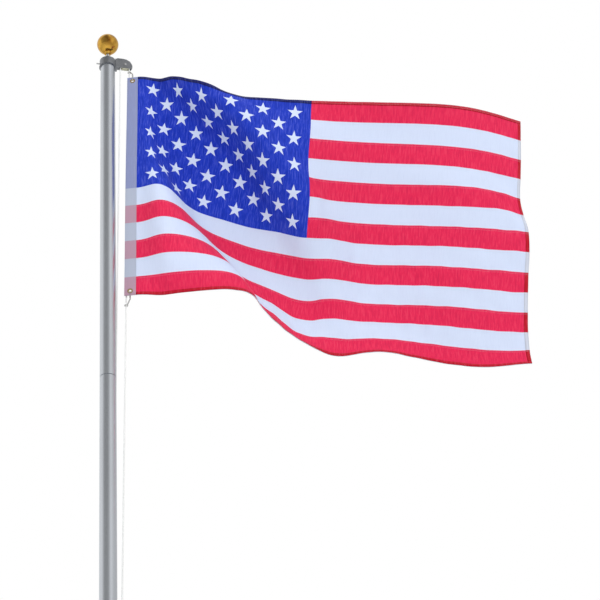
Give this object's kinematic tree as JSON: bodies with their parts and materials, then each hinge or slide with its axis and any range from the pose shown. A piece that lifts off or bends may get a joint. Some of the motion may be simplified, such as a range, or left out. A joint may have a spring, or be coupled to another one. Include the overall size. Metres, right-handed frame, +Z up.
{
  "type": "flagpole",
  "caption": "Sectional aluminium flagpole with a ball finial, pulley truck, halyard, cleat and a striped flag flying from snap hooks.",
  "frame": {"origin": "centre of the pole's foot at ground level", "axes": "+Z up the pole, +X towards the truck's pulley arm, +Y the remaining side, with the pulley's axle along it"},
  "size_m": [1.5681, 0.2395, 6.2111],
  "materials": {
    "pole_aluminium": "satin anodised tube with soft vertical draw lines",
    "cast_truck": "tumbled aluminium casting",
    "gold_ball": "bright gold anodised, mirror-like",
    "bright_steel": "zinc plated",
    "dark_steel": "blackened",
    "nylon": "natural nylon",
    "black_plastic": "moulded",
    "rope": "solid braid polyester rope",
    "canvas": "white canvas heading",
    "flag_fabric": "woven nylon in red, white and blue",
    "grommet_brass": "rolled brass",
    "snap_metal": "nickel plated"
  },
  "bodies": {
    "mast": {"foot_plug": "black_plastic", "pole_section_1": "pole_aluminium", "pole_section_2": "pole_aluminium", "pole_section_3": "pole_aluminium", "pole_section_4": "pole_aluminium", "pole_section_5": "pole_aluminium", "truck_body": "cast_truck", "sheave_axle": "bright_steel", "axle_nut": "bright_steel", "set_screw": "bright_steel", "finial_ball": "gold_ball", "finial_cup": "gold_ball", "lock_nut": "dark_steel", "finial_spindle": "bright_steel", "cleat": "cast_truck", "cleat_screw_upper": "bright_steel", "cleat_screw_lower": "bright_steel", "halyard_bight": "rope", "halyard_hoist_fall": "rope", "halyard_back_fall": "rope"},
    "pulley": {"sheave": "nylon"},
    "flag": {"flag_heading": "canvas", "flag_cloth": "flag_fabric", "grommet_upper": "grommet_brass", "grommet_lower": "grommet_brass", "snap_body_upper": "snap_metal", "snap_body_lower": "snap_metal", "snap_gate_upper": "snap_metal", "snap_gate_lower": "snap_metal"}
  },
  "joints": [
    {"name": "pulley_spin", "type": "hinge", "parent": "mast", "child": "pulley", "pos_m": [0.061, 0, 6.08], "axis": [0, 1, 0], "continuous": true},
    {"name": "flag_hoist", "type": "slide", "parent": "mast", "child": "flag", "axis": [-0.017, 0.0134, -0.9998], "range_m": [0, 3]}
  ]
}
